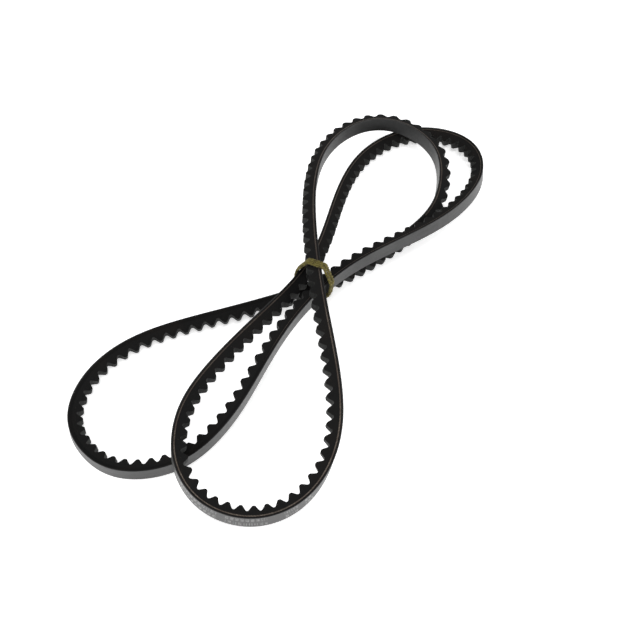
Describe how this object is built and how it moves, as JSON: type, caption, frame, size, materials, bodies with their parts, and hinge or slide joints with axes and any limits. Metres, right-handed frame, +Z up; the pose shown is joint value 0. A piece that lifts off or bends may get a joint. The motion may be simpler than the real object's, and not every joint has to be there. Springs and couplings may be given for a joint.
{
  "type": "v belt",
  "caption": "Endless raw-edge cogged V belt for a 13 mm groove, folded into four loops on its edge and bound at the waist with a yarn tie.",
  "frame": {"origin": "on the floor that the folded belt rests on, below the middle of its bounding box", "axes": "+Z up off the floor and across the belt's width, +Y along the longer side of the folded belt, from the near loops to the far ones, +X to the right"},
  "size_m": [0.3006, 0.3462, 0.0468],
  "materials": {
    "backing_fabric": "rubber-coated fabric back, satin grey, worn smooth",
    "embedding_rubber": "dense black rubber, cut edge",
    "tension_cord": "twisted polyester cord, brown-grey at the cut edge",
    "compression_rubber": "fibre-filled black rubber, matt cut flanks with fine specks",
    "tie_yarn": "olive yarn of loose twisted fibres"
  },
  "bodies": {
    "root": {"backing_fabric": "backing_fabric", "cushion_rubber": "embedding_rubber", "tension_cord": "tension_cord", "adhesion_rubber": "embedding_rubber", "compression_rubber": "compression_rubber", "tie_turn_near": "tie_yarn", "tie_turn_far": "tie_yarn", "tie_knot": "tie_yarn", "tie_tail_long": "tie_yarn", "tie_tail_short": "tie_yarn"}
  },
  "joints": []
}
